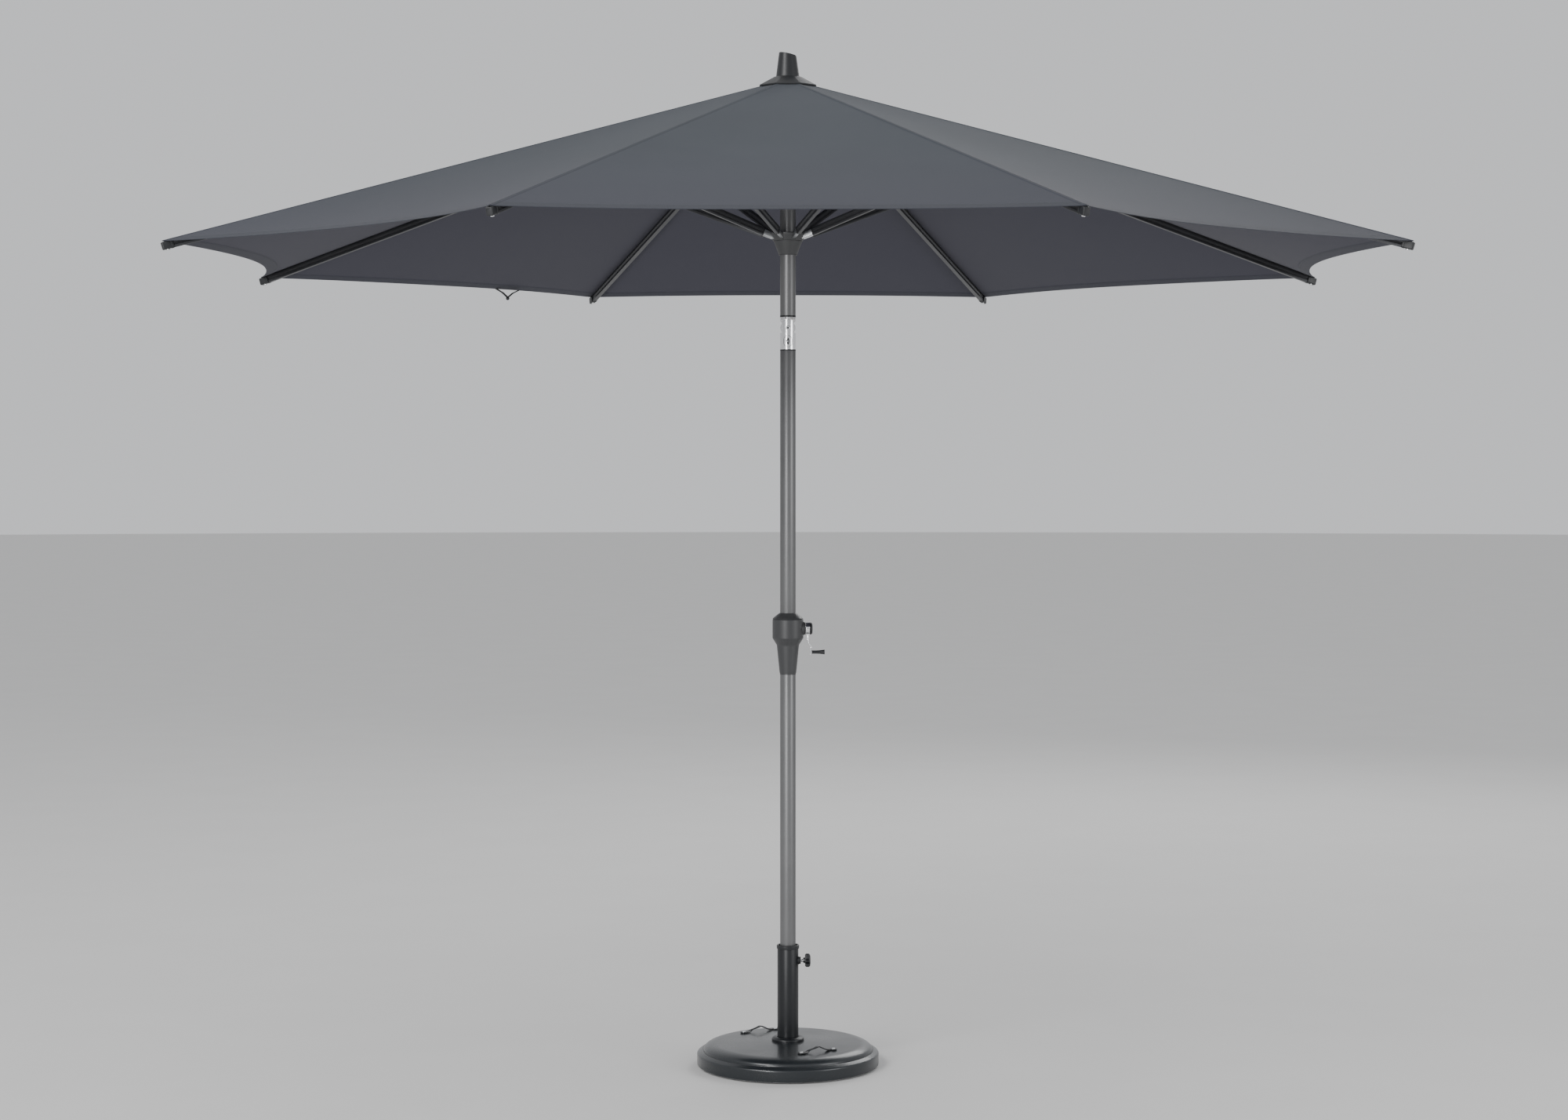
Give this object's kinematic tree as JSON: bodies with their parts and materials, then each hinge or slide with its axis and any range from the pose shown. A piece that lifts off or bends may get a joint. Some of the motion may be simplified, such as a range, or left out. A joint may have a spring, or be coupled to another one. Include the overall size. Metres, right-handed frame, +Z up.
{
  "type": "patio umbrella with base",
  "caption": "Octagonal crank-and-tilt patio umbrella, open, on a round weighted base with a clamped stem.",
  "frame": {"origin": "centre of the footprint, on the ground under the feet", "axes": "+Z up along the pole; +X towards the crank and the clamp knob; -Y towards the tilt button"},
  "size_m": [2.782, 2.782, 2.45],
  "materials": {
    "base_slate": "satin slate powder coat",
    "concrete": "rough cast concrete",
    "steel": "zinc plated",
    "rubber": "matt",
    "pole_powder": "gunmetal powder coat",
    "black_plastic": "moulded, fine grain",
    "nylon": "moulded",
    "bright_steel": "polished plate",
    "bright_alloy": "polished casting",
    "dark_housing": "moulded, fine grain",
    "frame_powder": "dark powder-coated extrusion",
    "canopy_cloth": "solution-dyed woven cloth",
    "cord": "braided",
    "webbing": "woven webbing"
  },
  "bodies": {
    "base": {"base_cover": "base_slate", "base_core": "concrete", "base_plate": "steel", "base_feet": "rubber", "stem_tube": "pole_powder", "stem_bolt": "steel", "stem_collar": "pole_powder", "stem_lip": "black_plastic", "carry_handles": "pole_powder"},
    "clamp_pad": {"clamp_pad": "nylon"},
    "clamp_knob": {"clamp_screw": "bright_steel", "clamp_knob": "black_plastic"},
    "centring_cup": {"centring_cup": "nylon"},
    "mast": {"lower_tube": "pole_powder", "mid_tube": "pole_powder", "crank_housing": "dark_housing", "crank_housing_cap": "dark_housing", "crank_bushes": "nylon", "tilt_lower_knuckle": "bright_alloy", "tilt_studs": "bright_steel", "button_spring": "steel"},
    "crank": {"crank_shaft": "steel", "cord_spool": "nylon", "crank_arm": "bright_steel"},
    "crank_grip": {"crank_grip": "black_plastic"},
    "tilt_button": {"tilt_button": "bright_alloy"},
    "head": {"tilt_upper_knuckle": "bright_alloy", "top_tube": "pole_powder", "hub": "dark_housing", "hub_pins": "steel", "finial": "black_plastic", "lift_cord": "cord"},
    "pulley": {"pulley": "nylon"},
    "runner": {"runner": "dark_housing", "runner_pins": "steel"},
    "rib_1": {"rib_1": "frame_powder", "canopy_panel_1": "canopy_cloth"},
    "strut_1": {"strut_1": "frame_powder"},
    "rib_2": {"rib_2": "frame_powder", "canopy_panel_2": "canopy_cloth"},
    "strut_2": {"strut_2": "frame_powder"},
    "rib_3": {"rib_3": "frame_powder", "canopy_panel_3": "canopy_cloth", "tie_strap": "webbing"},
    "strut_3": {"strut_3": "frame_powder"},
    "rib_4": {"rib_4": "frame_powder", "canopy_panel_4": "canopy_cloth"},
    "strut_4": {"strut_4": "frame_powder"},
    "rib_5": {"rib_5": "frame_powder", "canopy_panel_5": "canopy_cloth"},
    "strut_5": {"strut_5": "frame_powder"},
    "rib_6": {"rib_6": "frame_powder", "canopy_panel_6": "canopy_cloth"},
    "strut_6": {"strut_6": "frame_powder"},
    "rib_7": {"rib_7": "frame_powder", "canopy_panel_7": "canopy_cloth"},
    "strut_7": {"strut_7": "frame_powder"},
    "rib_8": {"rib_8": "frame_powder", "canopy_panel_8": "canopy_cloth"},
    "strut_8": {"strut_8": "frame_powder"}
  },
  "joints": [
    {"name": "canopy_fold", "type": "hinge", "parent": "head", "child": "rib_1", "pos_m": [0.03418, 0.01416, 2.3615], "axis": [-0.3827, 0.9239, 0], "range_deg": [0, 68], "deforming": ["canopy_panel_1", "canopy_panel_2", "canopy_panel_3", "canopy_panel_4", "canopy_panel_5", "canopy_panel_6", "canopy_panel_7", "canopy_panel_8", "tie_strap", "lift_cord"]},
    {"name": "rib_2_hinge", "type": "hinge", "parent": "head", "child": "rib_2", "pos_m": [0.01416, 0.03418, 2.3615], "axis": [-0.9239, 0.3827, 0], "range_deg": [0, 68]},
    {"name": "rib_3_hinge", "type": "hinge", "parent": "head", "child": "rib_3", "pos_m": [-0.01416, 0.03418, 2.3615], "axis": [-0.9239, -0.3827, 0], "range_deg": [0, 68]},
    {"name": "rib_4_hinge", "type": "hinge", "parent": "head", "child": "rib_4", "pos_m": [-0.03418, 0.01416, 2.3615], "axis": [-0.3827, -0.9239, 0], "range_deg": [0, 68]},
    {"name": "rib_5_hinge", "type": "hinge", "parent": "head", "child": "rib_5", "pos_m": [-0.03418, -0.01416, 2.3615], "axis": [0.3827, -0.9239, 0], "range_deg": [0, 68]},
    {"name": "rib_6_hinge", "type": "hinge", "parent": "head", "child": "rib_6", "pos_m": [-0.01416, -0.03418, 2.3615], "axis": [0.9239, -0.3827, 0], "range_deg": [0, 68]},
    {"name": "rib_7_hinge", "type": "hinge", "parent": "head", "child": "rib_7", "pos_m": [0.01416, -0.03418, 2.3615], "axis": [0.9239, 0.3827, 0], "range_deg": [0, 68]},
    {"name": "rib_8_hinge", "type": "hinge", "parent": "head", "child": "rib_8", "pos_m": [0.03418, -0.01416, 2.3615], "axis": [0.3827, 0.9239, 0], "range_deg": [0, 68]},
    {"name": "strut_1_hinge", "type": "hinge", "parent": "rib_1", "child": "strut_1", "pos_m": [0.48647, 0.2015, 2.18292], "axis": [-0.3827, 0.9239, 0], "range_deg": [-136, 0]},
    {"name": "strut_2_hinge", "type": "hinge", "parent": "rib_2", "child": "strut_2", "pos_m": [0.2015, 0.48647, 2.18292], "axis": [-0.9239, 0.3827, 0], "range_deg": [-136, 0]},
    {"name": "strut_3_hinge", "type": "hinge", "parent": "rib_3", "child": "strut_3", "pos_m": [-0.2015, 0.48647, 2.18292], "axis": [-0.9239, -0.3827, 0], "range_deg": [-136, 0]},
    {"name": "strut_4_hinge", "type": "hinge", "parent": "rib_4", "child": "strut_4", "pos_m": [-0.48647, 0.2015, 2.18292], "axis": [-0.3827, -0.9239, 0], "range_deg": [-136, 0]},
    {"name": "strut_5_hinge", "type": "hinge", "parent": "rib_5", "child": "strut_5", "pos_m": [-0.48647, -0.2015, 2.18292], "axis": [0.3827, -0.9239, 0], "range_deg": [-136, 0]},
    {"name": "strut_6_hinge", "type": "hinge", "parent": "rib_6", "child": "strut_6", "pos_m": [-0.2015, -0.48647, 2.18292], "axis": [0.9239, -0.3827, 0], "range_deg": [-136, 0]},
    {"name": "strut_7_hinge", "type": "hinge", "parent": "rib_7", "child": "strut_7", "pos_m": [0.2015, -0.48647, 2.18292], "axis": [0.9239, 0.3827, 0], "range_deg": [-136, 0]},
    {"name": "strut_8_hinge", "type": "hinge", "parent": "rib_8", "child": "strut_8", "pos_m": [0.48647, -0.2015, 2.18292], "axis": [0.3827, 0.9239, 0], "range_deg": [-136, 0]},
    {"name": "runner_hinge", "type": "hinge", "parent": "strut_1", "child": "runner", "pos_m": [0.03418, 0.01416, 2.00434], "axis": [-0.3827, 0.9239, 0], "range_deg": [0, 68]},
    {"name": "crank_turn", "type": "hinge", "parent": "mast", "child": "crank", "pos_m": [0, 0, 1.056], "axis": [1, 0, 0], "range_deg": [0, 4106.4]},
    {"name": "pulley_turn", "type": "hinge", "parent": "head", "child": "pulley", "pos_m": [0, 0.01225, 2.3955], "axis": [1, 0, 0], "range_deg": [0, 3844.7]},
    {"name": "grip_spin", "type": "hinge", "parent": "crank", "child": "crank_grip", "pos_m": [0.06, 0, 0.999], "axis": [1, 0, 0], "continuous": true},
    {"name": "canopy_tilt", "type": "hinge", "parent": "mast", "child": "head", "pos_m": [0, 0, 1.783], "axis": [0, 1, 0], "range_deg": [-40, 0]},
    {"name": "tilt_button_press", "type": "slide", "parent": "mast", "child": "tilt_button", "axis": [0, 1, 0], "range_m": [0, 0.0035], "stiffness_N_per_m": 600, "springref_m": -0.002, "deforming": ["button_spring"]},
    {"name": "mast_swivel", "type": "hinge", "parent": "base", "child": "centring_cup", "pos_m": [0, 0, 0.03], "axis": [0, 0, 1], "continuous": true},
    {"name": "mast_lift", "type": "slide", "parent": "centring_cup", "child": "mast", "axis": [0, 0, 1], "range_m": [0, 0.2]},
    {"name": "clamp_travel", "type": "slide", "parent": "base", "child": "clamp_pad", "axis": [1, 0, 0], "range_m": [0, 0.006]},
    {"name": "clamp_turn", "type": "hinge", "parent": "clamp_pad", "child": "clamp_knob", "pos_m": [0.045, 0, 0.253], "axis": [1, 0, 0], "range_deg": [0, 1728]}
  ],
  "couplings": [
    {"joint": "rib_2_hinge", "follows": "canopy_fold", "ratio": 1},
    {"joint": "rib_3_hinge", "follows": "canopy_fold", "ratio": 1},
    {"joint": "rib_4_hinge", "follows": "canopy_fold", "ratio": 1},
    {"joint": "rib_5_hinge", "follows": "canopy_fold", "ratio": 1},
    {"joint": "rib_6_hinge", "follows": "canopy_fold", "ratio": 1},
    {"joint": "rib_7_hinge", "follows": "canopy_fold", "ratio": 1},
    {"joint": "rib_8_hinge", "follows": "canopy_fold", "ratio": 1},
    {"joint": "strut_1_hinge", "follows": "canopy_fold", "ratio": -2},
    {"joint": "strut_2_hinge", "follows": "canopy_fold", "ratio": -2},
    {"joint": "strut_3_hinge", "follows": "canopy_fold", "ratio": -2},
    {"joint": "strut_4_hinge", "follows": "canopy_fold", "ratio": -2},
    {"joint": "strut_5_hinge", "follows": "canopy_fold", "ratio": -2},
    {"joint": "strut_6_hinge", "follows": "canopy_fold", "ratio": -2},
    {"joint": "strut_7_hinge", "follows": "canopy_fold", "ratio": -2},
    {"joint": "strut_8_hinge", "follows": "canopy_fold", "ratio": -2},
    {"joint": "runner_hinge", "follows": "canopy_fold", "ratio": 1},
    {"joint": "crank_turn", "follows": "canopy_fold", "ratio": 60.388},
    {"joint": "pulley_turn", "follows": "canopy_fold", "ratio": 56.54},
    {"joint": "clamp_turn", "follows": "clamp_travel", "rad_per_m": 5026.5}
  ]
}
